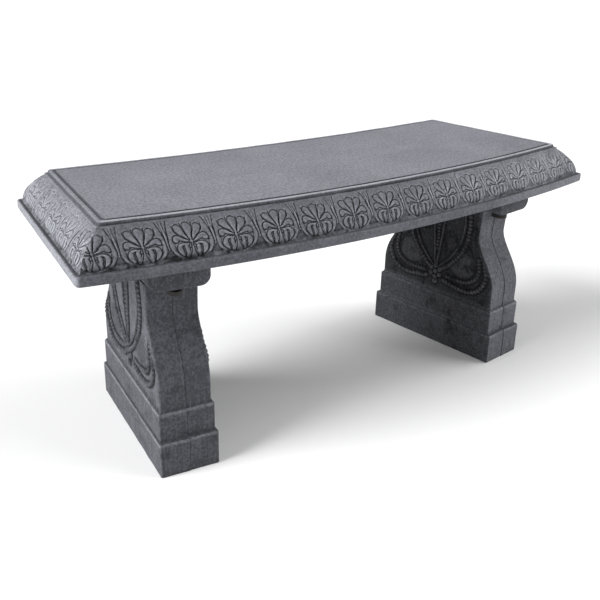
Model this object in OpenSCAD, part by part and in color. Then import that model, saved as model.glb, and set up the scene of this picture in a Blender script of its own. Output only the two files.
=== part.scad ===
// Curved garden bench: a fan-shaped cast seat resting on two radial cast legs.
// Frame: +X along the length, -Y is the convex front, +Z up, origin at the middle of the footprint on the ground.

/* [Seat] */
// Longest side of the seat, between its front corners, mm
seat_length = 1084; // [900:2:1300]
// Overall depth of the seat's footprint, front crown to back corners, mm
seat_depth = 457; // [380:1:560]
// Distance between the two back corners, mm
seat_back_length = 982; // [760:2:1240]
// How far the front edge bulges past its corners, mm
front_bulge = 52; // [20:1:90]
// How far the back edge curves in between its corners, mm
back_hollow = 29; // [5:1:60]
// Thickness of the seat from rim bottom to top, mm
seat_thickness = 75; // [60:1:100]
// Height of the whole bench, mm
bench_height = 440; // [400:1:480]
// Wall thickness of the seat casting at the rim, mm
rim_wall = 16; // [12:1:24]
// Thickness of the seat's top slab, mm
slab = 14; // [10:1:24]

/* [Bolsters] */
// Length of each bolster, front to back, mm
bolster_length = 290; // [240:2:320]
// Width of each bolster, mm
bolster_width = 99; // [80:1:120]
// Depth of the bolster below the rim, mm
bolster_drop = 47.7; // [30:0.1:70]
// Radius of the bolster's lower long edges, mm
bolster_round = 16; // [6:1:24]

/* [Legs] */
// Distance of each leg's centre from the middle of the bench, mm
leg_x = 354; // [280:1:420]
// Distance of the leg centres behind the middle of the footprint, mm
leg_y = -8.5; // [-40:0.5:40]
// Front-to-back size of the foot plinth, mm
plinth_depth = 320; // [260:2:380]
// Thickness of the foot plinth, mm
plinth_width = 102; // [80:1:130]
// Height of the foot plinth, mm
plinth_height = 63; // [40:1:80]
// Height of the upper plinth course, mm
course_height = 51; // [30:1:70]
// Front-to-back size of the leg's swell just above the plinth, mm
swell_depth = 295; // [240:1:310]
// Front-to-back size of the leg's neck, mm
neck_depth = 202; // [160:1:240]
// Thickness of the leg above the plinth, mm
leg_width = 90; // [70:1:100]
// Wall thickness of the leg shells, mm
leg_wall = 13; // [8:1:20]
// Width of the glue line between the two leg shells, mm
glue_line = 0.4; // [0:0.1:1]

/* [Key battens] */
// Width of the locating batten, mm
key_width = 22; // [14:1:30]
// How far the batten stands up into the bolster's groove, mm
key_rise = 11; // [6:0.5:16]
// How far the batten's front tongue sticks out of the neck, mm
tongue_reach = 27; // [10:1:40]
// Thickness of the tongue, mm
tongue_thickness = 6.5; // [4:0.5:12]

/* [Ribs and bars] */
// Width of the stiffening ribs under the slab, mm
rib_width = 32; // [20:1:50]
// Height of the stiffening ribs, mm
rib_height = 48; // [30:1:56]
// Y position of the front rib's middle line, mm
front_rib_y = -105; // [-130:1:-70]
// Y position of the back rib's middle line, mm
back_rib_y = 85; // [50:1:110]
// Diameter of the reinforcing bars, mm
bar_diameter = 10; // [6:1:14]

/* [Hidden] */

eps = 0.01;
fit = 0.3;                       // clearance between pieces that are only laid or glued together
corner_y = front_bulge - seat_depth / 2;
corner_depth = seat_depth - front_bulge;
front_half = seat_length / 2;
back_half = seat_back_length / 2;
end_slant = atan((front_half - back_half) / corner_depth);
front_radius = (front_half * front_half + front_bulge * front_bulge) / (2 * front_bulge);
back_radius = (back_half * back_half + back_hollow * back_hollow) / (2 * back_hollow);
front_centre_y = corner_y - front_bulge + front_radius;
back_centre_y = corner_y + corner_depth - back_hollow + back_radius;
arc_steps = 24;                  // straight steps along each long curve, flat to under 0.1 mm

rim_bottom = bench_height - seat_thickness;
slab_under = bench_height - slab;
bolster_bottom = rim_bottom - bolster_drop;
neck_top = bolster_bottom - fit;
head_wall = 16;                  // thickness of the leg's top wall
key_bottom = neck_top - head_wall;
swell_bottom = plinth_height + course_height + 12;

// Section of the seat casting as [distance in from the rim, height above the rim's bottom]:
// down the hollow's wall, under the rim, up the moulded edge and over its fillet to the flat field.
seat_section = [
    [58, seat_thickness - slab], [24, 36], [rim_wall, 22], [rim_wall, 0],
    [1.5, 0], [0, 1.5], [0, 14.1], [1.5, 15.6], [6.5, 16.4],
    [7.4, 20], [8.6, 26], [10.8, 32], [13.8, 38], [17.6, 43.5], [22, 48.5], [27, 54],
    [32.5, 59.5], [38.5, 64.6], [44.5, 69], [47.5, 69.3], [48.3, 74.1], [54.5, 74.6],
    [55.6, 72.4], [58, 72.4], [59, 75]
];

// Where the right end, drawn in by d, meets a long curve of radius r about (0, centre_y).
function end_meets(d, r, centre_y) =
    let (
        along = [-sin(end_slant), cos(end_slant)],
        start = [front_half - d * cos(end_slant), corner_y - d * sin(end_slant) - centre_y],
        b = start * along,
        t = -b - sqrt(b * b - start * start + r * r)
    ) start[0] + t * along[0];

function curve_points(half_width, r, centre_y, direction) =
    let (half_angle = asin(half_width / r))
    [for (i = [0:arc_steps])
        let (angle = direction * half_angle * (2 * i / arc_steps - 1))
        [r * sin(angle), centre_y - r * cos(angle)]];

// The seat's outline drawn in by d, anticlockwise from the front left corner.
function outline(d) =
    let (
        front_r = front_radius - d,
        back_r = back_radius + d
    ) concat(
        curve_points(end_meets(d, front_r, front_centre_y), front_r, front_centre_y, 1),
        curve_points(end_meets(d, back_r, back_centre_y), back_r, back_centre_y, -1)
    );

// A casting whose edge follows one section all round, mitred at the four corners.
module fan(section) {
    rings = [for (p = section) [for (q = outline(p[0])) [q[0], q[1], p[1]]]];
    count = len(rings[0]);
    last = len(section) - 1;
    walls = [
        for (k = [0:last - 1], i = [0:count - 1])
            let (j = (i + 1) % count, low = k * count, high = (k + 1) * count)
            each [[low + i, high + i, high + j], [low + i, high + j, low + j]]
    ];
    polyhedron(
        points = [for (ring = rings, p = ring) p],
        faces = concat(
            [[for (i = [0:count - 1]) i]],
            walls,
            [[for (i = [count - 1:-1:0]) last * count + i]]
        )
    );
}

module seat_shell() {
    color("#6d7076")
        translate([0, 0, rim_bottom])
            fan(seat_section);
}

// Places children at a leg: local +X points away from the bench's middle, -Y to the front.
module at_leg(side) {
    if (side > 0) {
        translate([leg_x, leg_y, 0]) rotate([0, 0, end_slant]) children();
    } else {
        mirror([1, 0, 0]) translate([leg_x, leg_y, 0]) rotate([0, 0, end_slant]) children();
    }
}

module bolster_outline() {
    half = bolster_width / 2;
    square_bottom = bolster_bottom + bolster_round;
    core_top = slab_under - fit;
    translate([-half, square_bottom]) square([bolster_width, core_top - square_bottom]);
    translate([-half + bolster_round, bolster_bottom])
        square([bolster_width - 2 * bolster_round, bolster_round + eps]);
    for (s = [-1, 1])
        translate([s * (half - bolster_round), square_bottom]) circle(r = bolster_round, $fn = 64);
}

module bolster(side) {
    shoulder = rim_bottom + 8;
    setback = 22;                // the upper part clears the seat's sloping inner walls
    groove_length = neck_depth + 8;
    color("#63666c")
        difference() {
            at_leg(side)
                difference() {
                    rotate([90, 0, 0])
                        linear_extrude(bolster_length, center = true) bolster_outline();
                    for (s = [-1, 1])
                        translate([-bolster_width, s * bolster_length / 2 - setback, shoulder])
                            cube([2 * bolster_width, 2 * setback, seat_thickness]);
                    translate([-key_width / 2 - fit, -groove_length / 2, bolster_bottom - 1])
                        cube([key_width + 2 * fit, groove_length, key_rise + 2.5]);
                }
            bar(front_rib_y, 0.1);
            bar(back_rib_y, 0.1);
        }
}

// Distance from the bench's middle to a bolster's inner face, at a given y.
function inner_face_x(y) = leg_x - (bolster_width / 2) / cos(end_slant) - (y - leg_y) * tan(end_slant);

module bar(y, slack) {
    embed = 42;
    z = slab_under - rib_height / 2;
    half = inner_face_x(y) + embed + slack;
    translate([0, y, z])
        rotate([0, 90, 0])
            cylinder(h = 2 * half, d = bar_diameter + 2 * slack, center = true, $fn = 48);
}

module seat_bar(y) {
    color("#5a4a40") bar(y, 0);
}

module seat_rib(y) {
    color("#75777c")
        difference() {
            translate([-leg_x, y - rib_width / 2, slab_under - fit - rib_height])
                cube([2 * leg_x, rib_width, rib_height]);
            for (side = [-1, 1])
                at_leg(side)
                    translate([-bolster_width / 2 - fit, -seat_depth, 0])
                        cube([seat_length, 2 * seat_depth, bench_height + 1]);
            bar(y, 0.1);
        }
}

// Half of the leg's front-to-back size at height z: an ogee from the swell up to the neck.
curve_bottom = 143;
curve_top = 262;
curve_skew = 1.3;
neck_flare = 3;
function ease(t) = t * t * (3 - 2 * t);
function leg_half_depth(z) =
    z < curve_bottom ? swell_depth / 2
    : z < curve_top ? swell_depth / 2
        - (swell_depth - neck_depth) / 2 * ease(pow((z - curve_bottom) / (curve_top - curve_bottom), curve_skew))
    : neck_depth / 2 + neck_flare * (z - curve_top) / (neck_top - curve_top);

side_steps = 24;
side_heights = concat(
    [swell_bottom],
    [for (i = [0:side_steps]) curve_bottom + (curve_top - curve_bottom) * i / side_steps]
);

// Right half of the leg's side outline from z_low to z_top, drawn in by the wall thickness.
function side_points(inset, z_low, z_top) = concat(
    [
        [plinth_depth / 2 - inset, z_low],
        [plinth_depth / 2 - inset, plinth_height - 3 - inset],
        [plinth_depth / 2 - 3 - inset, plinth_height - inset],
        [plinth_depth / 2 - 8 - inset, plinth_height - inset],
        [plinth_depth / 2 - 8 - inset, plinth_height + course_height - 2 - inset],
        [plinth_depth / 2 - 10 - inset, plinth_height + course_height - inset]
    ],
    [for (z = side_heights) [leg_half_depth(z) - inset, z]],
    [[leg_half_depth(z_top) - inset, z_top]]
);

// Right half of the leg's front outline, in the same way.
function front_points(inset, z_low, z_top) = [
    [plinth_width / 2 - inset, z_low],
    [plinth_width / 2 - inset, plinth_height - 2 - inset],
    [plinth_width / 2 - 2 - inset, plinth_height - inset],
    [plinth_width / 2 - 3 - inset, plinth_height - inset],
    [plinth_width / 2 - 3 - inset, plinth_height + course_height - 2 - inset],
    [plinth_width / 2 - 5 - inset, plinth_height + course_height - inset],
    [leg_width / 2 - inset, swell_bottom],
    [leg_width / 2 - inset, z_top]
];

function mirrored(points) = concat(points, [for (i = [len(points) - 1:-1:0]) [-points[i][0], points[i][1]]]);

module leg_form(inset, z_low, z_top) {
    intersection() {
        rotate([90, 0, 90])
            linear_extrude(2 * plinth_width, center = true) polygon(mirrored(side_points(inset, z_low, z_top)));
        rotate([90, 0, 0])
            linear_extrude(2 * plinth_depth, center = true) polygon(mirrored(front_points(inset, z_low, z_top)));
    }
}

// One shell of a leg. The outer shell is the one away from the bench's middle.
module leg_half(side, outward) {
    color(outward > 0 ? "#7c8087" : "#5f6268")
        at_leg(side)
            difference() {
                leg_form(0, 0, neck_top);
                leg_form(leg_wall, -1, key_bottom);
                translate([-key_width / 2 - fit, -plinth_depth, key_bottom - eps])
                    cube([key_width + 2 * fit, 2 * plinth_depth, head_wall + 1]);
                translate([outward > 0 ? glue_line / 2 - plinth_width : -glue_line / 2, -plinth_depth, -1])
                    cube([plinth_width, 2 * plinth_depth, bench_height]);
            }
}

block_width = leg_width - 2 * leg_wall - 2 * fit;
block_depth = neck_depth - 2 * leg_wall - 8;
block_height = 64;
screw_diameter = 5;
screw_head = 10;
screw_length = 72;
screw_pitch = 62;
key_top = bolster_bottom + key_rise;

module screw(slack) {
    cone = (screw_head - screw_diameter) / 2;
    translate([0, 0, key_top - screw_length])
        cylinder(h = screw_length, d = screw_diameter + 2 * slack, $fn = 32);
    translate([0, 0, key_top - cone])
        cylinder(h = cone, d1 = screw_diameter + 2 * slack, d2 = screw_head + 2 * slack, $fn = 32);
}

module screws(slack) {
    for (i = [-1:1])
        translate([0, i * screw_pitch, -0.5]) screw(slack);
}

module head_block(side) {
    color("#8a6b45")
        at_leg(side)
            difference() {
                translate([-block_width / 2, -block_depth / 2, key_bottom - block_height])
                    cube([block_width, block_depth, block_height]);
                screws(0.1);
            }
}

module key_batten(side) {
    key_length = neck_depth - 2;
    tip_y = -neck_depth / 2 - tongue_reach;
    color("#7a5a3a")
        at_leg(side)
            difference() {
                union() {
                    translate([-key_width / 2, -key_length / 2, key_bottom])
                        cube([key_width, key_length, key_top - key_bottom]);
                    translate([-key_width / 2, tip_y + key_width / 2, key_bottom])
                        cube([key_width, tongue_reach, tongue_thickness]);
                    translate([0, tip_y + key_width / 2, key_bottom])
                        cylinder(h = tongue_thickness, d = key_width, $fn = 64);
                }
                screws(0.1);
                translate([0, 0, 0.5]) screws(0.1);
            }
}

module key_screws(side) {
    color("#b9bcc0") at_leg(side) screws(0);
}

seat_shell();
seat_rib(front_rib_y);  // seat_rib_front
seat_rib(back_rib_y);  // seat_rib_back
seat_bar(front_rib_y);  // seat_bar_front
seat_bar(back_rib_y);  // seat_bar_back
bolster(-1);  // left_bolster
bolster(1);  // right_bolster
leg_half(-1, 1);  // left_leg_outer_half
leg_half(-1, -1);  // left_leg_inner_half
leg_half(1, 1);  // right_leg_outer_half
leg_half(1, -1);  // right_leg_inner_half
head_block(-1);  // left_head_block
head_block(1);  // right_head_block
key_batten(-1);  // left_key_batten
key_batten(1);  // right_key_batten
key_screws(-1);  // left_key_screws
key_screws(1);  // right_key_screws
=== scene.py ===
from math import atan2, ceil, cos, pi, radians, sin

import bmesh
import bpy
import numpy as np
from mathutils import Matrix, Vector


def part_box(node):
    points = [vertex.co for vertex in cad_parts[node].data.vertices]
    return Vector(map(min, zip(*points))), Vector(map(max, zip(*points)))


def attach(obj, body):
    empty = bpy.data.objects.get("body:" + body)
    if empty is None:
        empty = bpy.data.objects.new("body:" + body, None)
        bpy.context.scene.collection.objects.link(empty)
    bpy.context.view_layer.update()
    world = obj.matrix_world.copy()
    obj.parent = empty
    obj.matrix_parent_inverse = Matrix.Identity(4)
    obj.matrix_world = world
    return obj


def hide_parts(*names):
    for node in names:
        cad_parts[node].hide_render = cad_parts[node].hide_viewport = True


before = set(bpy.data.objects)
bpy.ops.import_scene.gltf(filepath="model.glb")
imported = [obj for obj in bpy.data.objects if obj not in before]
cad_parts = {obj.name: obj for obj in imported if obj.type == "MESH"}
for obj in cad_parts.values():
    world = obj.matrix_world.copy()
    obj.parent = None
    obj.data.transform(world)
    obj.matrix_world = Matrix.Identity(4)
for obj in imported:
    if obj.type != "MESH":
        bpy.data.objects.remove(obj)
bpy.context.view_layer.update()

MM = 0.001

# ---------------------------------------------------------------- the seat's plan and edge, in mm

seat_low, seat_high = (np.array(corner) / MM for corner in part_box("seat_shell"))
FRONT_HALF = seat_high[0]
RIM_BOTTOM = seat_low[2]
BACK_HALF = 491.0
FRONT_BULGE = 52.0
BACK_HOLLOW = 29.0
CORNER_Y = seat_low[1] + FRONT_BULGE
CORNER_DEPTH = seat_high[1] - CORNER_Y
END_SLANT = atan2(FRONT_HALF - BACK_HALF, CORNER_DEPTH)
FRONT_RADIUS = (FRONT_HALF ** 2 + FRONT_BULGE ** 2) / (2 * FRONT_BULGE)
BACK_RADIUS = (BACK_HALF ** 2 + BACK_HOLLOW ** 2) / (2 * BACK_HOLLOW)
FRONT_CENTRE_Y = CORNER_Y - FRONT_BULGE + FRONT_RADIUS
BACK_CENTRE_Y = CORNER_Y + CORNER_DEPTH - BACK_HOLLOW + BACK_RADIUS

# The moulded edge as [distance in from the rim, height above the rim's bottom].
EDGE = np.array([
    [0, 0], [0, 15.6], [6.5, 16.4],
    [7.4, 20], [8.6, 26], [10.8, 32], [13.8, 38], [17.6, 43.5], [22, 48.5], [27, 54],
    [32.5, 59.5], [38.5, 64.6], [44.5, 69], [47.5, 69.3], [48.3, 74.1],
])
EDGE_UP = np.r_[0, np.cumsum(np.hypot(*np.diff(EDGE, axis=0).T))]
LEDGE_UP = EDGE_UP[2]
RISER_UP = EDGE_UP[13]


def end_meets(d, radius, centre_y):
    """x where the end line, drawn in by d, meets a long curve."""
    along = np.array([-sin(END_SLANT), cos(END_SLANT)])
    start_x = FRONT_HALF - d * cos(END_SLANT)
    start_y = CORNER_Y - d * sin(END_SLANT) - centre_y
    b = start_x * along[0] + start_y * along[1]
    t = -b - np.sqrt(b * b - start_x ** 2 - start_y ** 2 + radius ** 2)
    return start_x + t * along[0]


def front_curve(u, d):
    """Point at u = -1..1 along the front edge drawn in by d."""
    radius = FRONT_RADIUS - d
    angle = u * np.arcsin(end_meets(d, radius, FRONT_CENTRE_Y) / radius)
    return radius * np.sin(angle), FRONT_CENTRE_Y - radius * np.cos(angle)


def back_curve(u, d):
    """Point at u = -1 (right corner) to 1 (left corner) along the back edge drawn in by d."""
    radius = BACK_RADIUS + d
    angle = u * np.arcsin(end_meets(d, radius, BACK_CENTRE_Y) / radius)
    return -radius * np.sin(angle), BACK_CENTRE_Y - radius * np.cos(angle)


def end_line(u, d):
    """Point at u = -1 (front corner) to 1 (back corner) along the right end drawn in by d."""
    front_x, front_y = front_curve(np.ones_like(u * d), d)
    back_x, back_y = back_curve(-np.ones_like(u * d), d)
    t = (u + 1) / 2
    return front_x + t * (back_x - front_x), front_y + t * (back_y - front_y)


def other_end_line(u, d):
    """Point at u = -1 (back corner) to 1 (front corner) along the left end drawn in by d."""
    x, y = end_line(-u, d)
    return -x, y


# ---------------------------------------------------------------- small helpers for hand-made surfaces

def uneven(x, y, size, seed):
    """Smooth waviness between -1 and 1, in lumps of about the given size."""
    rng = np.random.default_rng(seed)
    table = rng.uniform(-1, 1, (64, 64))
    gx, gy = np.asarray(x) / size, np.asarray(y) / size
    ix, iy = np.floor(gx).astype(int), np.floor(gy).astype(int)
    fx, fy = gx - ix, gy - iy
    fx, fy = fx * fx * (3 - 2 * fx), fy * fy * (3 - 2 * fy)

    def corner(dx, dy):
        return table[(ix + dx) % 64, (iy + dy) % 64]

    low = corner(0, 0) * (1 - fx) + corner(1, 0) * fx
    high = corner(0, 1) * (1 - fx) + corner(1, 1) * fx
    return low * (1 - fy) + high * fy


def step_between(x, low, high):
    """0 below low, 1 above high, and a smooth step between."""
    t = np.clip((x - low) / (high - low), 0, 1)
    return t * t * (3 - 2 * t)


def flowing(points, step=1.5):
    """A smooth line through the given points, which may carry a radius as a third number."""
    points = np.array(points, float)
    padded = np.vstack([2 * points[0] - points[1], points, 2 * points[-1] - points[-2]])
    out = []
    for i in range(1, len(padded) - 2):
        p0, p1, p2, p3 = padded[i - 1:i + 3]
        count = max(2, ceil(np.hypot(*(p2 - p1)[:2]) / step))
        for t in np.arange(count) / count:
            out.append(0.5 * (2 * p1 + (p2 - p0) * t + (2 * p0 - 5 * p1 + 4 * p2 - p3) * t ** 2
                              + (3 * p1 - p0 - 3 * p2 + p3) * t ** 3))
    out.append(padded[-2])
    return np.array(out)


def raised(x, y, stroke, height, outside=None):
    """Height of a rounded ridge that follows a stroke of (x, y, radius) points.
    Outside, if given, keeps the distance to the nearest ridge's edge."""
    line = flowing(stroke)
    result = np.zeros_like(x)
    margin = 0 if outside is None else 4
    for (ax, ay, ar), (bx, by, br) in zip(line[:-1], line[1:]):
        reach = max(ar, br) + margin
        near = ((x > min(ax, bx) - reach) & (x < max(ax, bx) + reach)
                & (y > min(ay, by) - reach) & (y < max(ay, by) + reach))
        if not near.any():
            continue
        px, py = x[near], y[near]
        dx, dy = bx - ax, by - ay
        t = np.clip(((px - ax) * dx + (py - ay) * dy) / (dx * dx + dy * dy + 1e-9), 0, 1)
        radius = ar + t * (br - ar)
        away = np.hypot(px - ax - t * dx, py - ay - t * dy)
        bump = height * np.clip(1 - (away / radius) ** 2.4, 0, 1) ** 0.55
        result[near] = np.maximum(result[near], bump)
        if outside is not None:
            outside[near] = np.minimum(outside[near], away - radius)
    return result


def beads(x, y, path, spacing, radius, height):
    """A row of small domes at even spacing along a path."""
    line = flowing(path)
    along = np.r_[0, np.cumsum(np.hypot(*np.diff(line[:, :2], axis=0).T))]
    result = np.zeros_like(x)
    for s in np.arange(0, along[-1], spacing):
        cx, cy = np.interp(s, along, line[:, 0]), np.interp(s, along, line[:, 1])
        near = (abs(x - cx) < radius) & (abs(y - cy) < radius)
        away = np.hypot(x[near] - cx, y[near] - cy) / radius
        result[near] = np.maximum(result[near], height * np.sqrt(np.clip(1 - away ** 2, 0, 1)))
    return result


class Carving:
    """A carved pattern worked out once on a fine grid, then read anywhere."""

    def __init__(self, x_range, y_range, pitch, shape):
        self.x0, self.y0, self.pitch = x_range[0], y_range[0], pitch
        xs, ys = np.meshgrid(np.arange(x_range[0], x_range[1] + pitch, pitch),
                             np.arange(y_range[0], y_range[1] + pitch, pitch), indexing="ij")
        self.height = shape(xs, ys)

    def at(self, x, y):
        gx = np.clip((x - self.x0) / self.pitch, 0, self.height.shape[0] - 1.001)
        gy = np.clip((y - self.y0) / self.pitch, 0, self.height.shape[1] - 1.001)
        ix, iy = gx.astype(int), gy.astype(int)
        fx, fy = gx - ix, gy - iy
        h = self.height
        return ((h[ix, iy] * (1 - fx) + h[ix + 1, iy] * fx) * (1 - fy)
                + (h[ix, iy + 1] * (1 - fx) + h[ix + 1, iy + 1] * fx) * fy)


# ---------------------------------------------------------------- the carving on the seat's edge

PALMETTE_PITCH = 69.4
PALMETTE_DEPTH = 2.9


def palmette_shape(x, v):
    """Half a palmette, x out from its middle and v up the edge. 0 is the deepest cut, in mm."""
    strokes = [
        # middle petal and the two pairs beside it
        ([(0, 50.5, 1.0), (0, 59, 2.9), (0, 67, 5.0), (0, 73.6, 6.9)], 2.5),
        ([(2.4, 52, 0.9), (6.9, 59.3, 2.7), (12.0, 66.2, 5.0), (14.6, 71.8, 6.0)], 2.5),
        ([(3.4, 49.8, 0.9), (9.5, 52.2, 2.0), (15.5, 55.6, 3.7), (20.3, 56.2, 4.8),
          (21.8, 53.6, 4.3)], 2.4),
        # curling lower lobes with the drop inside them
        ([(8.5, 45.4, 1.8), (13.5, 46.0, 2.1), (18.2, 43.6, 3.2), (19.2, 38.5, 4.0),
          (18.0, 33, 3.5), (15.6, 29.2, 2.3)], 2.6),
        ([(4.8, 46, 1.0), (8.5, 43.4, 2.6), (8.9, 38, 3.4), (8.4, 32.6, 2.6), (9.8, 29.0, 1.5)], 2.4),
        # tail under the knot
        ([(0, 46.5, 1.0), (0, 40, 1.3), (0, 33, 3.0), (0, 27.5, 5.2)], 2.1),
        ([(2.8, 39.0, 0.9), (5.0, 33.5, 1.4), (8.4, 27.2, 2.2)], 1.7),
        # upright between two palmettes
        ([(34.7, 86, 2.5), (34.7, 72, 2.0), (34.7, 58, 1.5), (34.7, 40, 0.8)], 2.7),
        ([(0, 49.6, 2.3), (0, 49.4, 2.2)], 2.6),
    ]
    height = np.zeros_like(x)
    outside = np.full_like(x, 9.0)
    for stroke, rise in strokes:
        height = np.maximum(height, raised(x, v, stroke, rise, outside))
    pocket = step_between(x, 21, 27) * step_between(-v, -44, -36) * step_between(v, 24, 30)
    eye = np.exp(-((x - 25.4) / 2.4) ** 2 - ((v - 49.5) / 3.6) ** 2)
    crown = step_between(v, 65, 72)  # the petals' tips run out into the ground
    groove = (1 - step_between(outside, 0.1, 1.9)) * (1 - crown)
    ground = (1.75 + 0.6 * crown - 1.35 * np.maximum(pocket, eye)) * (1 - groove)
    height = np.where(outside < 0, height, np.maximum(height, ground))
    round_band = [(30.2, 50, 2.2), (30.0, 45, 2.4), (28.0, 37, 2.2), (23.2, 30.6, 2.2),
                  (17.0, 26.2, 2.2), (11.5, 23.8, 1.8)]
    height = np.maximum(height, raised(x, v, round_band, 2.0))
    flute = [(26.6, 86, 1.0), (29.6, 74, 1.15), (31.4, 62, 1.1), (32.6, 52, 0.8)]
    between_petals = [(1.8, 51, 0.7), (4.4, 60, 0.9), (7.0, 68.5, 1.1), (8.2, 78, 1.0)]
    beside_petals = [(15.0, 61.5, 0.8), (20.4, 67, 1.2), (21.6, 75, 0.9)]
    inside_band = [(25.4, 46, 0.6), (24.2, 38.5, 0.9), (20.9, 32.4, 0.9), (15.6, 28.2, 0.8),
                   (11.0, 26.0, 0.6)]
    cuts = ((flute, 1.0), (between_petals, 1.7), (beside_petals, 1.5), (inside_band, 1.1))
    for cut, deep in cuts:
        height -= raised(x, v, cut, deep) * step_between(height, 0.6, 1.4)
    scallop_pitch = 13.4
    scallop = 84.4 + 1.5 * abs(np.cos(pi * x / scallop_pitch))
    lip = 2.5 * step_between(v, scallop - 0.9, scallop + 1.4)
    foot = 1.6 * (1 - step_between(v, 23.0, 26.5))
    return np.maximum(np.maximum(height, lip), foot)


palmette = Carving((0, PALMETTE_PITCH / 2), (20, 96), 0.25, palmette_shape)


def edge_relief(s, v, pitch, shift, drift, seed):
    """Relief of the carved edge at s along it and v up it, 0 at the highest spots.
    Shift moves the pattern along; drift is how much further it moves in the middle than
    near the corners."""
    scale = PALMETTE_PITCH / pitch
    warped_s = s + 0.8 * uneven(s, v, 12, seed) + 0.9 * uneven(s, v * 0, 60, seed + 1)
    warped_s = warped_s - drift * (1 - 1.12 * ((s + 20) / 430) ** 2)
    warped_v = v + 0.75 * uneven(s, v, 13, seed + 2)
    phase = ((warped_s - shift) * scale + PALMETTE_PITCH / 2) % PALMETTE_PITCH - PALMETTE_PITCH / 2
    ground = palmette.at(abs(phase), warped_v)
    worn = 1 + 0.18 * uneven(s, v, 19, seed + 3)
    return np.minimum(ground * worn, 3.2) - PALMETTE_DEPTH + 0.17 * uneven(s, v, 3.5, seed + 4)


# ---------------------------------------------------------------- the relief on the legs' faces

def leg_face_shape(s, z):
    """Half of a leg face, s out from its middle and z above the ground."""
    lobe_outer = [(111, 226, 1.6), (122, 208, 3.0), (128, 184, 3.4), (122, 162, 3.5),
                  (105.5, 145, 3.5), (79, 137.5, 3.4), (46, 140, 3.2), (20, 145, 2.6)]
    lobe_inner = [(107, 214, 1.6), (110, 192, 2.6), (104, 172, 2.8), (85, 159, 2.8),
                  (58, 155, 2.6), (27, 156, 2.2)]
    band_outer = [(70, 322, 3.4), (75, 302, 3.5), (78, 278, 3.6), (75, 251, 3.6), (66, 223, 3.5),
                  (50, 199, 3.3), (31, 180, 2.9), (14, 168, 2.3)]
    band_inner = [(61, 322, 2.4), (64, 300, 2.5), (66, 276, 2.6), (61, 249, 2.6), (51, 224, 2.6),
                  (38, 204, 2.5), (22, 186, 2.3), (9, 174, 2.0)]
    channel = [(16.5, 322, 2.6), (14.5, 290, 2.6), (12, 262, 2.5), (8.5, 228, 2.3), (4, 192, 1.9),
               (2.2, 178, 1.6)]
    height = np.zeros_like(s)
    pillow = np.clip(1 - ((s - 66) / 36) ** 2 - ((z - 192) / 30) ** 2, 0, 1)
    height = np.maximum(height, 1.9 * np.sqrt(pillow) * step_between(pillow, 0, 0.25))
    ribs = ((lobe_outer, 1.7), (lobe_inner, 1.3), (band_outer, 1.8), (band_inner, 3.0), (channel, 3.4))
    for stroke, rise in ribs:
        height = np.maximum(height, raised(s, z, stroke, rise))
    ropes = ((lobe_outer, 8.4, 4.9, 4.7), (lobe_inner, 7.6, 4.0, 3.9), (band_outer, 8.0, 4.5, 4.5))
    for rope, spacing, radius, rise in ropes:
        height = np.maximum(height, beads(s, z, [p[:2] for p in rope], spacing, radius, rise))
    height = np.maximum(height, beads(s, z, [(0, 318), (0, 250), (0, 204)], 7.6, 3.6, 3.0))
    flower_z, petal_out = 160, 12.5
    knobs = [(petal_out * cos(angle), flower_z + petal_out * sin(angle), 6.0, 4.6)
             for angle in (pi / 2 - k * pi / 3 for k in range(4))]
    knobs += [(0, flower_z, 6.4, 5.0), (0, 137, 6.8, 4.2)]
    for knob_s, knob_z, radius, rise in knobs:
        spot = [(knob_s, knob_z), (knob_s + 0.1, knob_z)]
        height = np.maximum(height, beads(s, z, spot, 9, radius, rise))
    return height


leg_face = Carving((0, 150), (120, 322), 0.4, leg_face_shape)

# ---------------------------------------------------------------- shader expressions


class Socket:
    """A node's output; arithmetic on it adds Math nodes."""

    def __init__(self, shader, output):
        self.shader, self.output = shader, output

    def _math(self, operation, *values):
        return self.shader.node("ShaderNodeMath", {"operation": operation}, dict(enumerate(values)))

    def __add__(self, other):
        return self._math("ADD", self, other)

    def __radd__(self, other):
        return self._math("ADD", other, self)

    def __sub__(self, other):
        return self._math("SUBTRACT", self, other)

    def __rsub__(self, other):
        return self._math("SUBTRACT", other, self)

    def __mul__(self, other):
        return self._math("MULTIPLY", self, other)

    def __rmul__(self, other):
        return self._math("MULTIPLY", other, self)

    def capped(self, low=0.0, high=1.0):
        return self._math("MINIMUM", self._math("MAXIMUM", self, low), high)

    def stretched(self, low, high):
        """0 where the value is low, 1 where it is high."""
        return self.shader.node(
            "ShaderNodeMapRange", {"interpolation_type": "SMOOTHSTEP"},
            {"Value": self, "From Min": low, "From Max": high})


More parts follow.
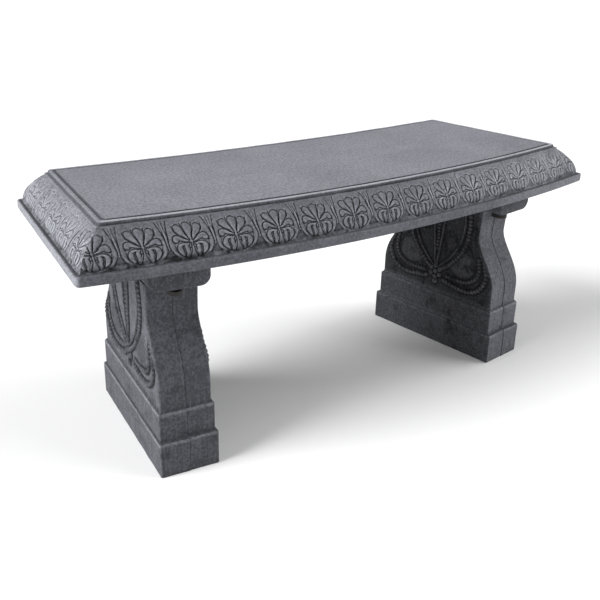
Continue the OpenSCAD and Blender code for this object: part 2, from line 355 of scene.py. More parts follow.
class Shader:
    """One node material, built from Python expressions."""

    def __init__(self, name):
        self.material = bpy.data.materials.new(name)
        self.material.use_nodes = True
        self.tree = self.material.node_tree
        self.surface = self.tree.nodes["Principled BSDF"]

    def node(self, kind, settings, values, output=0):
        made = self.tree.nodes.new(kind)
        for key, value in settings.items():
            setattr(made, key, value)
        for key, value in values.items():
            self._feed(made.inputs[key], value)
        return Socket(self, made.outputs[output])

    def _feed(self, socket, value):
        if isinstance(value, Socket):
            self.tree.links.new(value.output, socket)
        elif isinstance(value, tuple) and len(value) == 3 and len(socket.default_value) == 4:
            socket.default_value = (*value, 1)
        else:
            socket.default_value = value

    def set(self, **values):
        for key, value in values.items():
            self._feed(self.surface.inputs[key.replace("_", " ")], value)

    def place(self, scale=(1, 1, 1)):
        """Object coordinates, stretched by the scale."""
        spot = self.node("ShaderNodeTexCoord", {}, {}, "Object")
        return self.node("ShaderNodeMapping", {}, {"Vector": spot, "Scale": scale})

    def noise(self, where, scale, detail=3.0, rough=0.55):
        return self.node("ShaderNodeTexNoise", {},
                         {"Vector": where, "Scale": scale, "Detail": detail, "Roughness": rough}, "Fac")

    def attribute(self, name):
        return self.node("ShaderNodeAttribute", {"attribute_name": name}, {}, "Fac")

    def mix(self, amount, first, second):
        return self.node("ShaderNodeMix", {"data_type": "RGBA"}, {0: amount, 6: first, 7: second}, 2)

    def bump(self, height, distance, strength=1.0, normal=None):
        values = {"Height": height, "Distance": distance, "Strength": strength}
        if normal is not None:
            values["Normal"] = normal
        return self.node("ShaderNodeBump", {}, values, "Normal")


INK = (0.0045, 0.0047, 0.0060)
CHARCOAL = (0.040, 0.0415, 0.050)
SLATE = (0.098, 0.101, 0.118)
CHALK = (0.33, 0.336, 0.372)


def cast_stone(name, streak_scale, streak_amount, lightness, contrast):
    """Charcoal-washed casting: dark in the recesses, rubbed pale on the high spots; its two painted
    fields also carry painted shade and painted light.
    """
    s = Shader(name)
    here = s.place()
    wash, rub = s.attribute("wash"), s.attribute("rub")
    cloud = s.noise(here, 5.5, 4)
    mottle = s.noise(here, 42, 5, 0.62)
    grain = s.noise(here, 230, 4, 0.7)
    dust = s.noise(here, 900, 2, 0.6)
    streak = s.noise(s.place(streak_scale), 1.0, 3, 0.5)
    body = 0.26 * cloud + 0.18 * mottle + 0.56 * grain + streak_amount * (streak - 0.5)
    tone = (body.stretched(0.5 - contrast, 0.5 + contrast) + lightness).capped()
    colour = s.mix(tone, CHARCOAL, SLATE)
    worn = 0.45 + 0.55 * (0.12 * mottle + 0.88 * grain).stretched(0.34, 0.66)
    colour = s.mix((rub * worn).capped(), colour, CHALK)
    dark = (wash * (1.35 - 0.75 * grain)).capped()
    colour = s.mix(dark, colour, INK)
    specks = s.node("ShaderNodeTexVoronoi", {}, {"Vector": here, "Scale": 85.0}, "Distance")
    pale = (1 - specks.stretched(0.045, 0.075)) * s.noise(here, 17, 1).stretched(0.61, 0.67)
    colour = s.mix(pale * 0.55, colour, CHALK)
    pits = s.node("ShaderNodeTexVoronoi", {}, {"Vector": here, "Scale": 210.0}, "Distance")
    pits = pits.stretched(0.02, 0.22)
    fine = s.bump(0.6 * grain + 0.4 * dust, 0.0016, 0.7)
    lumps = mottle * 0.6 + pits * 0.35 + streak * (0.6 * streak_amount)
    roughness = (0.66 + 0.24 * mottle + 0.1 * wash).capped(0.4, 0.96)
    s.set(Base_Color=colour, Roughness=roughness, Normal=s.bump(lumps, 0.0020, 0.6, fine))
    s.surface.inputs["Specular IOR Level"].default_value = 0.32
    return s.material


seat_stone = cast_stone("seat_stone", streak_scale=(14, 120, 120), streak_amount=0.12,
                        lightness=0.02, contrast=0.15)
leg_stone = cast_stone("leg_stone", streak_scale=(260, 260, 22), streak_amount=0.36,
                       lightness=-0.30, contrast=0.09)


def weathered_timber():
    """Nearly black old timber, its grain along y."""
    s = Shader("weathered_timber")
    here = s.place((60, 9, 160))
    grain = s.noise(here, 4.0, 5, 0.6)
    fibres = s.noise(s.place((900, 40, 900)), 1.0, 3)
    figure = (0.6 * grain + 0.4 * fibres).stretched(0.3, 0.7)
    colour = s.mix(figure, (0.005, 0.0045, 0.004), (0.030, 0.025, 0.022))
    s.set(Base_Color=colour, Roughness=0.62 + 0.25 * grain,
          Normal=s.bump(fibres + grain, 0.0006, 0.5))
    return s.material


def rusted_bar():
    """Dark steel with flakes of rust."""
    s = Shader("rusted_bar")
    flake = s.noise(s.place(), 180, 5, 0.65)
    colour = s.mix(flake.stretched(0.35, 0.65), (0.055, 0.040, 0.035), (0.20, 0.075, 0.03))
    s.set(Base_Color=colour, Roughness=0.55 + 0.35 * flake, Normal=s.bump(flake, 0.0005, 0.6))
    s.surface.inputs["Metallic"].default_value = 0.6
    return s.material


def plated_steel():
    """Slightly hazy zinc on steel."""
    s = Shader("plated_steel")
    haze = s.noise(s.place(), 300, 3)
    colour = s.mix(haze, (0.42, 0.42, 0.40), (0.62, 0.62, 0.60))
    s.set(Base_Color=colour, Roughness=0.28 + 0.2 * haze, Normal=s.bump(haze, 0.0002, 0.3))
    s.surface.inputs["Metallic"].default_value = 1.0
    return s.material


def raw_casting():
    """The bare composite, as it is inside the seat."""
    s = Shader("raw_casting")
    lumps = s.noise(s.place(), 60, 5, 0.65)
    grain = s.noise(s.place(), 500, 3)
    colour = s.mix(lumps.stretched(0.3, 0.7), (0.13, 0.133, 0.137), (0.26, 0.265, 0.27))
    s.set(Base_Color=colour, Roughness=0.85 + 0.1 * grain,
          Normal=s.bump(lumps + 0.3 * grain, 0.0012, 0.7))
    return s.material


timber, rust = weathered_timber(), rusted_bar()
zinc, raw = plated_steel(), raw_casting()

# ---------------------------------------------------------------- casting a piece


def enclosed_volume(piece):
    """Volume inside the piece, negative if its faces point inwards."""
    shape = bmesh.new()
    shape.from_mesh(piece.data)
    volume = shape.calc_volume(signed=True)
    shape.free()
    return volume


def cast(name, rings, wash, rub, material, smooth=38):
    """Makes one closed casting from rings of points in mm, with its dark and pale fields painted on,
    which hold painted shade and painted light as well as patina and wear.
    Edges that turn by less than smooth degrees are shaded round."""
    rings, count, around = np.asarray(rings), len(rings), len(rings[0])
    bpy.ops.object.select_all(action="DESELECT")
    bpy.ops.mesh.primitive_grid_add(x_subdivisions=around, y_subdivisions=count - 1, size=1)
    piece = bpy.context.object
    piece.name = piece.data.name = name
    closed = np.concatenate([rings, rings[:, :1]], axis=1) * MM
    assert len(piece.data.vertices) == count * (around + 1)
    piece.data.vertices.foreach_set("co", closed.reshape(-1).astype(np.float32))
    for label, values in (("wash", wash), ("rub", rub)):
        field = np.broadcast_to(values, (count, around))
        field = np.concatenate([field, field[:, :1]], axis=1)
        painted = piece.data.attributes.new(label, "FLOAT", "POINT")
        painted.data.foreach_set("value", field.reshape(-1).astype(np.float32))
    for layer in list(piece.data.uv_layers):
        piece.data.uv_layers.remove(layer)
    bpy.ops.object.mode_set(mode="EDIT")
    bpy.ops.mesh.select_all(action="SELECT")
    bpy.ops.mesh.remove_doubles(threshold=2e-6)
    bpy.ops.mesh.fill_holes(sides=0)
    bpy.ops.mesh.select_all(action="SELECT")
    bpy.ops.mesh.normals_make_consistent(inside=False)
    bpy.ops.object.mode_set(mode="OBJECT")
    if enclosed_volume(piece) < 0:
        bpy.ops.object.mode_set(mode="EDIT")
        bpy.ops.mesh.flip_normals()
        bpy.ops.object.mode_set(mode="OBJECT")
    piece.location = (0, 0, 0)
    piece.data.materials.append(material)
    bpy.ops.object.shade_smooth_by_angle(angle=radians(smooth))
    return piece


def stands_for(piece, body, slot, *nodes):
    """The piece moves with the body and is shown instead of the nodes."""
    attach(piece, body)
    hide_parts(*nodes)


# ---------------------------------------------------------------- carved edge bands

def rounded_edge():
    """The ovolo's section at about 1 mm steps, with its outward direction at each step."""
    fine = np.arange(LEDGE_UP - 6, RISER_UP + 6, 0.25)
    inward = np.interp(fine, EDGE_UP, EDGE[:, 0])
    upward = np.interp(fine, EDGE_UP, EDGE[:, 1])
    kernel = np.exp(-0.5 * (np.arange(-12, 13) / 5.0) ** 2)
    kernel /= kernel.sum()
    round_in, round_up = (np.convolve(a, kernel, "same") for a in (inward, upward))
    ovolo = (fine > LEDGE_UP + 3.5) & (fine < RISER_UP - 3.5)
    inward, upward = np.where(ovolo, round_in, inward), np.where(ovolo, round_up, upward)
    v = np.linspace(LEDGE_UP, RISER_UP - 0.4, 76)
    o, h = np.interp(v, fine, inward), np.interp(v, fine, upward)
    do, dh = np.gradient(o, v), np.gradient(h, v)
    length = np.hypot(do, dh)
    return v, o, h, do / length, dh / length


BAND_V, BAND_IN, BAND_UP, BAND_DO, BAND_DH = rounded_edge()
# The bands' hidden back, from the riser down to the ledge: distance in and height.
BAND_BACK = np.array([(50.5, 69), (50.5, 64), (40, 57), (28, 46), (19, 34), (14, 22), (11, 14.5)])
BAND_STEP = 1.06
MITRE_HALF_WIDTH, MITRE_DEPTH = 4.2, 2.6
FRONT_PITCH = 69.4
TOOL_MARK_PITCH = 6.4


def tool_marks(s, v, seed):
    """Upright chisel marks between -1 and 1, on the upper part of the edge."""
    marks = np.cos(2 * pi * (s + 2.2 * uneven(s, v, 15, seed + 12)) / TOOL_MARK_PITCH)
    return marks * (step_between(v, 36, 50) * (0.5 + 0.5 * uneven(s, v, 21, seed + 13)))


def band_paint(x, s, v, relief, seed, darkness, paleness):
    """Wash in the carving's recesses and low on the edge, pale rubbing on its high spots, and painted
    light that makes the edge paler towards the right.
    """
    soft = relief.copy()
    for _ in range(6):
        soft[1:-1] = 0.25 * (soft[:-2] + 2 * soft[1:-1] + soft[2:])
        soft[:, 1:-1] = 0.25 * (soft[:, :-2] + 2 * soft[:, 1:-1] + soft[:, 2:])
    hollowness = np.clip((soft - relief - 0.10) / 0.62, 0, 1)
    depth = np.clip((-1.7 - relief) / 1.1, 0, 1)
    low_band = 1 - step_between(v, 25, 33)
    top_line = step_between(v, RISER_UP - 3.2, RISER_UP - 0.6)
    to_left = step_between(-x, 150, 420)
    patches = 0.5 + 0.5 * uneven(s, v, 27, seed + 9)
    blots = 0.5 + 0.45 * uneven(s, v, 17, seed + 10) + 0.45 * uneven(s, v, 5, seed + 11)
    blots = np.clip(blots, 0, 1)
    wash = 0.45 * depth + hollowness + low_band * (0.55 + 0.35 * to_left) * blots
    wash = wash + 0.30 * top_line + 0.10 * patches
    rub = 0.30 + 0.9 * np.clip((relief - soft) / 0.9, 0, 1)
    rub *= 0.70 + 0.45 * patches
    rub *= 1 - 0.75 * low_band * blots
    painted_light_to_right = step_between(x, -160, 440)  # painted light: the edge is painted paler and less dark towards the right, where the fill light falls
    wash = wash * darkness * (1.18 - 0.65 * painted_light_to_right)
    rub = rub * paleness * (0.8 + 0.95 * painted_light_to_right)
    return np.clip(wash, 0, 1), rub


def carved_band(name, curve, length, pitch, shift, drift, seed, darkness, paleness, tooled):
    """One side of the seat's carved edge, from mitre to mitre.
    Tooled sides are carved shallower and show tool marks."""
    columns = int(length / BAND_STEP)
    u = np.linspace(-1, 1, columns + 1)[:, None]
    base = np.broadcast_to(BAND_IN, (columns + 1, len(BAND_IN)))
    base_x, base_y = curve(u, base)
    gaps = np.hypot(np.diff(base_x, axis=0), np.diff(base_y, axis=0))
    along = np.vstack([np.zeros(len(BAND_IN)), np.cumsum(gaps, axis=0)])
    from_mitre = np.minimum(along, along[-1] - along)
    s = along - along[-1] / 2
    v = BAND_V + 0 * s
    relief = edge_relief(s, v, pitch, shift, drift, seed)
    if tooled:
        relief = 0.74 * relief - 0.35 + 0.30 * tool_marks(s, v, seed)
    toward_mitre = np.exp(-(from_mitre / MITRE_HALF_WIDTH) ** 2)
    lift = relief * (1 - toward_mitre) - MITRE_DEPTH * toward_mitre
    lift *= step_between(v, LEDGE_UP - 0.1, LEDGE_UP + 2) * 0.9 + 0.1
    lift = np.where(v > RISER_UP - 5, np.maximum(lift, -0.6), lift)

    back = np.broadcast_to(BAND_BACK, (columns + 1, *BAND_BACK.shape))
    inward = np.hstack([base - lift * BAND_DH, back[..., 0]])
    upward = np.hstack([BAND_UP + lift * BAND_DO, back[..., 1]])
    x, y = curve(u, inward)
    rings = np.stack([x, y, RIM_BOTTOM + upward], axis=-1)
    wash, rub = band_paint(base_x, s, v, relief, seed, darkness, paleness)
    hidden = np.ones((columns + 1, len(BAND_BACK)))
    return cast(name, rings, np.hstack([wash, hidden]), np.hstack([rub, 0 * hidden]), seat_stone)


# The ends' low darkness and high paleness are partly painted light: the left end, which faces the key
# light, is painted palest, and the right end follows it.
bands = {
    "seat_edge_front": dict(curve=front_curve, length=1094, pitch=FRONT_PITCH,
                            shift=FRONT_PITCH / 2 + 8, drift=6.5, seed=11,
                            darkness=1.0, paleness=0.9, tooled=False),
    "seat_edge_back": dict(curve=back_curve, length=984, pitch=67.4, shift=0.0, drift=0.0, seed=23,
                           darkness=0.9, paleness=1.0, tooled=True),
    "seat_edge_right": dict(curve=end_line, length=408, pitch=73.0, shift=-158.0, drift=0.0, seed=37,
                            darkness=0.6, paleness=1.7, tooled=True),
    "seat_edge_left": dict(curve=other_end_line, length=408, pitch=73.0, shift=158.0, drift=0.0,
                           seed=53, darkness=0.55, paleness=2.6, tooled=True),
}
for band_name, settings in bands.items():
    stands_for(carved_band(band_name, **settings), "seat", "cast_composite", "seat_shell")

# ---------------------------------------------------------------- the seat casting itself

# The seat's section as (distance in from the rim, height above the rim's bottom, wash it holds):
# from the hollow's ceiling, down its wall, under and up the rim, behind the carved bands,
# up the riser, over the fillet, through the quirk and in over the flat field.
SEAT_SECTION = [
    (58, 61, 0.3), (24, 36, 0.3), (16.2, 22, 0.3), (16, 1.2, 0.3), (14.8, 0, 0.3),
    (3.2, 0, 0.1), (1.4, 0.5, 0.05), (0.4, 1.6, 0), (0, 3.4, 0), (0, 8, 0), (0, 12.6, 0),
    (0.3, 14.4, 0), (1.3, 15.4, 0), (3, 15.8, 0.12), (5.6, 16.3, 0.55), (7.2, 16.4, 1), (12, 16.6, 1),
    (22, 30, 1), (34, 46, 1), (46.6, 60, 1), (47.4, 66, 1), (47.5, 69.3, 0.7), (47.8, 71.4, 0.2),
    (48.1, 73.2, 0), (48.7, 74.2, 0), (50, 74.7, 0), (52.2, 74.8, 0), (54, 74.5, 0.05),
    (54.8, 73.8, 0.4), (55.5, 72.7, 0.9), (56.6, 72.3, 1), (57.7, 72.5, 1), (58.4, 73.6, 0.75),
    (59.1, 74.6, 0.3), (60.2, 74.85, 0.12), (62.5, 74.9, 0.05), (66, 74.9, 0),
]
SEAT_SECTION += [(d, 74.9, 0) for d in range(74, 200, 8)]
LEDGE_IN, RISER_IN, FILLET_IN, QUIRK_IN, FIELD_IN = 15.0, 47.0, 48.5, 54.4, 59.5
TOP_LIMIT = 74.98


def places_along(length, step=4.5, fine=1.0, edge=14.0):
    """-1..1 along a side, closer together near its corners."""
    inner = np.linspace(-length / 2 + edge, length / 2 - edge, int((length - 2 * edge) / step) + 1)
    low = np.arange(-length / 2, -length / 2 + edge - fine / 2, fine)
    return np.concatenate([low, inner, -low[::-1]]) / (length / 2)


SIDES = [(curve, places_along(length)[:-1]) for curve, length in (
    (front_curve, 2 * FRONT_HALF), (end_line, CORNER_DEPTH),
    (back_curve, 2 * BACK_HALF), (other_end_line, CORNER_DEPTH))]
CORNERS = np.concatenate([np.arange(len(u)) == 0 for _, u in SIDES])


def with_round_corners(x, y, rounds=48):
    """The seat's plan with its four corners smoothed off."""
    away = np.min(np.hypot(x[:, None] - x[CORNERS], y[:, None] - y[CORNERS]), axis=1)
    soften = step_between(-away, -26, -8)
    for _ in range(rounds):
        mean_x = 0.25 * (np.roll(x, 1) + 2 * x + np.roll(x, -1))
        mean_y = 0.25 * (np.roll(y, 1) + 2 * y + np.roll(y, -1))
        x, y = x + soften * (mean_x - x), y + soften * (mean_y - y)
    return x, y


def seat_paint(d, up, dark, x, y, left_end):
    """Wash and wear along one line of the section, with painted light on the left end, on the field's
    left and towards the right.
    """
    patches = 0.5 + 0.5 * uneven(x + 900, y + 900, 33, 75)
    painted_light_right = step_between(x, 120, 500)
    if RISER_IN <= d < FIELD_IN:  # the quirk is darkened less along the left end, and less towards the right, where that is painted light
        dark = dark * (1 - 0.75 * left_end) * (1 - 0.5 * painted_light_right)
    wash = np.clip(dark * (0.65 + 0.5 * patches), 0, 1)
    if d >= FIELD_IN:
        # painted light: the flat field is painted paler towards the left, where the key light falls
        return wash, 0.68 - 0.00010 * x + 0.10 * uneven(x + 500, y + 500, 90, 76)
    if FILLET_IN < d < QUIRK_IN:
        return wash, (1.25 + 0.45 * patches) * (1 - 0.45 * left_end)
    rim_face = d < 1.5 and up < 16
    if rim_face:
        # painted light: the rim's face is painted paler along the left end, which faces the key light,
        # and towards the right, where the fill light falls
        return wash, 0.02 + 0.14 * patches + 0.8 * left_end + 0.38 * painted_light_right
    return wash, np.full_like(x, 0.05)


def seat_casting():
    """The whole seat without its carved bands, with the hollow underneath."""
    rings, washes, rubs = [], [], []
    for d, up, dark in SEAT_SECTION:
        x, y = np.hstack([curve(u, d + 0 * u) for curve, u in SIDES])
        past_end = d - (FRONT_HALF + x) * cos(END_SLANT) + (y - CORNER_Y) * sin(END_SLANT)
        left_end = step_between(past_end, -7, -1)
        hidden = 17 < up < 68  # inside the hollow or behind the carved bands
        if not hidden:
            x, y = with_round_corners(x, y)
        z = up + 0 * x
        if d >= FIELD_IN:
            z = z - 0.32 + 0.35 * uneven(x, y, 95, 73)
            z = np.minimum(z + 0.06 * uneven(x, y, 9, 74), TOP_LIMIT)
        elif d < LEDGE_IN or d >= RISER_IN:
            z = z + 0.22 * uneven(x, y, 38, 71) * (up > 10)
            push = 0.25 * uneven(x + y, z * 3, 45, 72)
            x, y = x * (1 - push / 600), y * (1 - push / 300)
            if d > QUIRK_IN and not hidden:  # the quirk is shallow along the left end
                z = z + 0.65 * (74.4 - z) * left_end
        rings.append(np.stack([x, y, RIM_BOTTOM + z], axis=-1))
        wash, rub = seat_paint(d, up, dark, x, y, left_end)
        washes.append(wash)
        rubs.append(rub)
    return cast("seat_casting", rings, np.array(washes), np.array(rubs), seat_stone, 42)


stands_for(seat_casting(), "seat", "cast_composite", "seat_shell")

# ---------------------------------------------------------------- legs

LEG_X, LEG_Y = 354.0, -8.5
NECK_TOP, KEY_BOTTOM, LEG_WALL = 317.0, 301.0, 13.0
PLINTH, UPPER_PLINTH = (160, 51), (152, 48)
PLINTH_TOP, UPPER_PLINTH_TOP = 63, 114
BODY_WIDE = 44.0
CURVE_LOW, CURVE_HIGH = 143.0, 262.0
SWELL_HALF, NECK_HALF = 147.5, 101.0
KEY_HALF = 11.3


def leg_half_depth(z):
    """Half the body's depth at a height: swollen low down, with an ogee to the neck."""
    t = np.clip((z - CURVE_LOW) / (CURVE_HIGH - CURVE_LOW), 0, 1) ** 1.3
    ogee = SWELL_HALF - (SWELL_HALF - NECK_HALF) * t * t * (3 - 2 * t)
    return ogee + 3 * np.clip((z - CURVE_HIGH) / (NECK_TOP - CURVE_HIGH), 0, 1)


def at_leg(side, a, s, z):
    """From a leg's own sizes to the bench: a away from the bench's middle, s towards the back."""
    x = LEG_X + a * cos(END_SLANT) - s * sin(END_SLANT)
    y = LEG_Y + a * sin(END_SLANT) + s * cos(END_SLANT)
    return np.stack([side * x, y, z + 0 * x], axis=-1)


def leg_levels():
    """Rows of (height, half depth, half width) from the foot up; depth 0 stands for the body."""
    rows = [(0, 158.6, 49.6), (0.6, 159.5, 50.5)]
    rows += [(z, *PLINTH) for z in (1.8, *np.arange(8, 58, 6.0), 59.5)]
    rows += [(61.5, 159.4, 50.5), (62.7, 158, 49.4), (63, 156.5, 48.8), (63.1, 152.6, 48.2)]
    rows += [(z, *UPPER_PLINTH) for z in (64.2, *np.arange(70, 108, 6.0), 110.5)]
    rows += [(112.6, 151.3, 47.4), (113.8, 149.8, 46.4), (114.3, 148.7, 45.4), (116.2, 148.2, 44.8)]
    rows += [(z, 0, 0) for z in (*np.arange(117.4, NECK_TOP, 1.25), NECK_TOP)]
    return rows


def softened(field, rounds):
    """The field with its small detail smoothed away."""
    for _ in range(rounds):
        field = np.pad(field, 1, mode="edge")
        field = 0.25 * (field[:-2] + 2 * field[1:-1] + field[2:])
        field = 0.25 * (field[:, :-2] + 2 * field[:, 1:-1] + field[:, 2:])
    return field


FACE_COLUMNS = int(2 * SWELL_HALF / 1.25)
SIDE_COUNT, ARC_COUNT = 13, 5
SIDE_STEPS = np.linspace(0, 1, SIDE_COUNT)
ARC_TURN = np.linspace(0, pi / 2, ARC_COUNT + 2)[1:-1]
# The sunk seam between a leg's two halves: out from the joint, and in from the side.
SEAM_OUT, SEAM_IN = np.array([0.2, 0.3, 0.6]), np.array([0.9, 0.4, 0.1])
FACE_START = len(SEAM_OUT) + SIDE_COUNT + ARC_COUNT
FACE_END = FACE_START + FACE_COLUMNS + 1
OUTLINE_END = FACE_END + FACE_START


def leg_inside(z, deep, wide):
    """The hollow in a leg half, with thicker walls in the plinths; deep and wide are half sizes."""
    more_s, more_a = (10, 5) if z < PLINTH_TOP else (2, 3) if z < UPPER_PLINTH_TOP else (0, 0)
    in_s, in_a = deep - LEG_WALL - more_s, wide - LEG_WALL - more_a
    return (np.array([0.2, in_a - 1, in_a, in_a, in_a - 1, 0.2]),
            np.array([in_s, in_s, in_s - 1, 1 - in_s, -in_s, -in_s]))


def leg_ring(z, deep, wide, outward, seed):
    """One level of a leg half as distances out and back, then the relief on its face
    and how much of it shows."""
    on_body = deep == 0
    if on_body:
        deep, wide = leg_half_depth(z), BODY_WIDE
    step_in = 0.0 if outward > 0 else 0.9
    deep = deep - step_in
    r = 3.4 if on_body else 2.6
    arc_a, arc_s = wide - r + r * np.sin(ARC_TURN), -deep + r - r * np.cos(ARC_TURN)
    side_a, side_s = 1.3 + (wide - r - 1.3) * SIDE_STEPS, -deep + 0 * SIDE_STEPS
    seam_s = -deep + SEAM_IN
    face_s = np.linspace(-deep + r, deep - r, FACE_COLUMNS + 1)
    face_z, side_z = z + 0 * face_s, z + 0 * side_a
    relief, margin = 0 * face_s, 0 * face_s
    if on_body:
        margin = step_between(deep - abs(face_s), 4, 10) * step_between(z, 118, 126)
        bend = 0.7 * uneven(face_s + 400, face_z, 16, seed)
        rise = 0.7 * uneven(face_s + 400, face_z, 18, seed + 1)
        relief = leg_face.at(abs(face_s + bend), z + rise) * margin
    wobble = (0.28 * uneven(face_s + 300, face_z, 26, seed + 2)
              + 0.12 * uneven(face_s + 300, face_z, 5, seed + 3))
    chisel = (0.25 * uneven(side_a + 50, 0.3 * side_z, 6, seed + 4)
              + 0.3 * uneven(side_a + 90, side_z, 30, seed + 5) - 0.3)
    a = np.concatenate([SEAM_OUT, side_a, arc_a, wide + relief + wobble,
                        arc_a[::-1], side_a[::-1], SEAM_OUT[::-1]])
    s = np.concatenate([seam_s, side_s - chisel, arc_s, face_s,
                        -arc_s[::-1], -(side_s - chisel)[::-1], -seam_s[::-1]])
    if z < KEY_BOTTOM - 1:
        in_a, in_s = leg_inside(z, deep + step_in, wide)
    else:  # the batten's slot through the top wall
        in_a = np.full(6, KEY_HALF)
        in_s = np.array([deep - 2.5, deep - 6, 20, -20, 6 - deep, 2.5 - deep])
    if z >= KEY_BOTTOM:
        beside_slot, flat, joint = KEY_HALF + 0.15, wide - r, SEAM_OUT[0]
        a = np.where(a < flat, beside_slot + (a - joint) * (flat - beside_slot) / (flat - joint), a)
    return np.concatenate([a, in_a]), np.concatenate([s, in_s]), relief, margin


def leg_paint(heights, reliefs, margins, around, side, outward, seed):
    """Wash and wear over a whole leg half, with painted shade on the inner halves and on the left leg,
    and painted light on the right leg.
    """
    face = slice(FACE_START, FACE_END)
    sides = np.r_[:FACE_START - 2, FACE_END + 2:OUTLINE_END]
    corners = np.r_[FACE_START - ARC_COUNT:FACE_START, FACE_END:FACE_END + ARC_COUNT]
    seams = np.r_[:2, OUTLINE_END - 2:OUTLINE_END]
    # painted shade: the inner halves are darkened far more than the outer halves, standing in for the
    # shade under the seat
    wash = np.full((len(heights), around), 0.14 if outward > 0 else 0.60)
    # painted light: the right leg is painted paler than the left
    rub = np.full((len(heights), around), 0.24 if side > 0 else 0.12)
    # painted shade: the left leg's front and back faces are painted darker than the right leg's
    wash[:, sides] = 0.11 if side > 0 else 0.33
    blurred = softened(reliefs, 7)
    # painted shade: only the inner faces have their flat ground darkened
    inner_painted_shade = 0.0 if outward > 0 else 0.22
    hollows = np.clip(blurred - reliefs, 0, 1)
    wash[:, face] += margins * (hollows + inner_painted_shade * np.clip(1 - reliefs / 1.6, 0, 1))
    rub[:, face] += margins * 0.22 * np.clip(reliefs - blurred, 0, 1)
    if outward > 0:
        wash[:, face] += 0.30 * margins * np.clip(softened(reliefs, 12) / 1.2, 0, 1)
        rub[:, face] += 0.12 * margins * (reliefs < 0.8)
    rows, places = np.meshgrid(heights, np.arange(around) * 1.3, indexing="ij")
    stains = uneven(places + 500, rows, 21, seed + 8) + 0.6 * uneven(places + 500, rows, 7, seed + 9)
    wash += 0.34 * np.clip(stains - 0.25, 0, 1)
    ledges = ((heights > 61.5) & (heights < 65)) | ((heights > 113) & (heights < 117.6))
    arrises = ((heights > 58) & (heights <= 61.5)) | ((heights > 110) & (heights <= 112.6))
    wash[ledges, :OUTLINE_END] = 0.45
    rub[arrises, :OUTLINE_END] = 0.55
    rub[:, corners] = np.maximum(rub[:, corners], 0.26)
    wash[:, seams] = 0.4
    return np.clip(wash, 0, 1), rub


def leg_half(name, side, outward, seed):
    """Side is 1 for the right leg and -1 for the left; outward is 1 for a leg's outer half."""
    rings, reliefs, margins, heights = [], [], [], []
    for z, deep, wide in leg_levels():
        a, s, relief, margin = leg_ring(z, deep, wide, outward, seed)
        rings.append(at_leg(side, outward * a, s, z))
        reliefs.append(relief)
        margins.append(margin)
        heights.append(z)
    wash, rub = leg_paint(np.array(heights), np.array(reliefs), np.array(margins), len(rings[0]),
                          side, outward, seed)
    return cast(name, rings, wash, rub, leg_stone, 40)


for side_name, side in (("left", -1), ("right", 1)):
    for half_name, outward in (("outer", 1), ("inner", -1)):
        node_name = f"{side_name}_leg_{half_name}_half"
        half = leg_half(f"{side_name}_leg_{half_name}_shell", side, outward,
                        100 + 20 * side + 7 * outward)
        stands_for(half, f"{side_name}_leg", "cast_composite", node_name)

# ---------------------------------------------------------------- bolsters

BOLSTER_HALF, BOLSTER_WIDE, BOLSTER_BOTTOM = 145.0, 49.5, 317.3
BOLSTER_TOP, BOLSTER_SHOULDER = 425.7, 373.0
TOP_HALF, GROOVE_HALF, GROOVE_DEPTH = 123.0, 104.0, 13.0


def bolster_stations():
    """Rows of (place along, how far the section is drawn in there)."""
    stations = [(-BOLSTER_HALF, 3.2), (-144.4, 1.6), (-143, 0.5), (-141, 0)]
    stations += [(s, 0) for s in (-136, -132, -128, -124, -TOP_HALF - 0.2, -TOP_HALF + 0.2)]
    middle = [(s, 0) for s in range(-118, 119, 6)]
    return stations + middle + [(-s, drawn) for s, drawn in stations[::-1]]


def bolster(name, side, seed):
    """The block between a leg's neck and the seat's hollow, grooved underneath for the key."""
    rings, washes, rubs = [], [], []
    turn = np.linspace(0, pi / 2, 9)
    for s, drawn in bolster_stations():
        top = (BOLSTER_TOP if abs(s) < TOP_HALF else BOLSTER_SHOULDER) - drawn
        groove = GROOVE_DEPTH if abs(s) < GROOVE_HALF else 0.0
        wide, low, r = BOLSTER_WIDE - drawn, BOLSTER_BOTTOM + drawn, 16.0
        round_a, round_z = wide - r + r * np.sin(turn), low + r - r * np.cos(turn)
        a = np.concatenate([
            [-KEY_HALF, -KEY_HALF, KEY_HALF, KEY_HALF, 20], round_a,
            [wide, wide, wide - 2, 2 - wide, -wide, -wide], -round_a[::-1], [-20]])
        z = np.concatenate([
            [low, low + groove, low + groove, low, low], round_z,
            [358, top - 2, top, top, top - 2, 358], round_z[::-1], [low]])
        a = a + 0.25 * uneven(z, s + 200 + 0 * z, 22, seed) * (abs(a) > 30)
        rings.append(at_leg(side, a, s + 0 * a, z))
        washes.append(0.25 + 0.2 * uneven(a + 60, z + s, 18, seed + 1))
        rubs.append(np.full(len(a), 0.12))
    return cast(name, rings, np.clip(np.array(washes), 0, 1), np.array(rubs), leg_stone, 40)


for side_name, side in (("left", -1), ("right", 1)):
    stands_for(bolster(f"{side_name}_bolster_casting", side, 300 + side), "seat", "cast_composite",
               f"{side_name}_bolster")

# ---------------------------------------------------------------- CAD pieces that stay

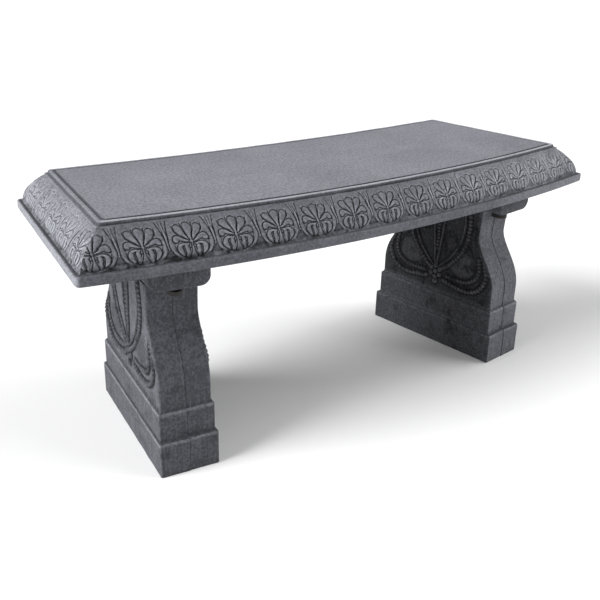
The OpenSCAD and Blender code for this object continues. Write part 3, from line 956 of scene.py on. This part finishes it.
finishes = {
    "seat_rib_front": raw, "seat_rib_back": raw, "seat_bar_front": rust, "seat_bar_back": rust,
    "left_head_block": timber, "right_head_block": timber,
    "left_key_batten": timber, "right_key_batten": timber,
    "left_key_screws": zinc, "right_key_screws": zinc,
}
for node_name, finish in finishes.items():
    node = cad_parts[node_name]
    node.data.materials.clear()
    node.data.materials.append(finish)

# ---------------------------------------------------------------- floor, light and camera


def pale_floor():
    s = Shader("pale_floor")
    cloud = s.noise(s.place(), 2.5, 3)
    s.set(Base_Color=s.mix(cloud, (0.93, 0.93, 0.93), (0.95, 0.95, 0.95)), Roughness=0.75 + 0.1 * cloud)
    return s.material


bpy.ops.object.select_all(action="DESELECT")
bpy.ops.mesh.primitive_plane_add(size=30, location=(0, 0, 0))
floor = bpy.context.object
floor.name = "floor"
floor.data.materials.append(pale_floor())

world = bpy.context.scene.world or bpy.data.worlds.new("studio")
bpy.context.scene.world = world
world.use_nodes = True
background = world.node_tree.nodes["Background"]
background.inputs["Color"].default_value = (1, 1, 1, 1)
background.inputs["Strength"].default_value = 0.30
bpy.context.scene.view_settings.view_transform = "Standard"


def soft_sun(name, direction, spread, strength):
    """Even light from a direction, with soft shadows; spread is in degrees."""
    bpy.ops.object.light_add(type="SUN", location=Vector(direction) * 4)
    light = bpy.context.object
    light.name = name
    light.data.angle = radians(spread)
    light.data.energy = strength
    light.rotation_euler = Vector(direction).to_track_quat("Z", "Y").to_euler()


soft_sun("key_light", (-0.84, 0.14, 0.52), spread=38, strength=4.5)
soft_sun("fill_light", (0.84, -0.46, 0.40), spread=60, strength=2.5)

CAMERA_PLACE = (-0.8894, -1.1675, 0.7965)
YAW, PITCH, ROLL = radians(36.04), radians(23.56), radians(1.46)
forward = Vector((sin(YAW) * cos(PITCH), cos(YAW) * cos(PITCH), -sin(PITCH)))
level = Vector((cos(YAW), -sin(YAW), 0))
upright = level.cross(forward)
camera_right = cos(ROLL) * level + sin(ROLL) * upright
camera_up = cos(ROLL) * upright - sin(ROLL) * level
bpy.ops.object.camera_add(location=CAMERA_PLACE)
camera = bpy.context.object
camera.data.lens = 48.76
camera.data.sensor_width = 36
facing = Matrix((camera_right, camera_up, -forward)).transposed()
camera.rotation_euler = facing.to_euler()
bpy.context.scene.camera = camera
